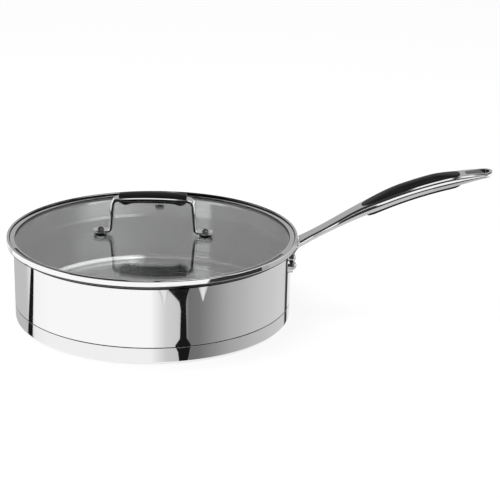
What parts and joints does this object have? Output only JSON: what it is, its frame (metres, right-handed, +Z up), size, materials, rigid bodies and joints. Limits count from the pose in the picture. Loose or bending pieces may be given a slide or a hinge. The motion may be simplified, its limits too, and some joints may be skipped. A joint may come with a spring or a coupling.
{
  "type": "saute pan with glass lid",
  "caption": "Wide straight-sided steel pan with a riveted long handle and a flat glass lid that lifts off by its strap handle.",
  "frame": {"origin": "centre of the flat underside of the base", "axes": "+Z up, +X from the pan's axis along the long handle, the lid's strap handle lies along X"},
  "size_m": [0.4897, 0.296, 0.1604],
  "materials": {
    "polished_steel": "mirror-polished stainless steel",
    "cast_steel": "cast stainless steel, polished edges and satin top",
    "core_aluminium": "pressed",
    "black_silicone": "satin black silicone",
    "lid_glass": "clear tempered glass"
  },
  "bodies": {
    "pan": {"pan_body": "polished_steel", "base_core": "core_aluminium", "base_cap": "polished_steel", "handle_frame": "cast_steel", "handle_top_grip": "black_silicone", "handle_under_grip": "black_silicone", "handle_rivets": "polished_steel"},
    "lid": {"lid_ring": "polished_steel", "lid_seal": "black_silicone", "lid_glass": "lid_glass", "vent_eyelet": "polished_steel", "lid_handle": "polished_steel", "lid_grip_top": "black_silicone", "lid_grip_under": "black_silicone", "foot_gaskets": "black_silicone", "seal_washers": "black_silicone", "lid_washers": "polished_steel", "lid_screws": "polished_steel", "lid_cap_nuts": "polished_steel"}
  },
  "joints": [
    {"name": "lid_lift", "type": "slide", "parent": "pan", "child": "lid", "axis": [0, 0, 1], "range_m": [0, 0.12]}
  ]
}
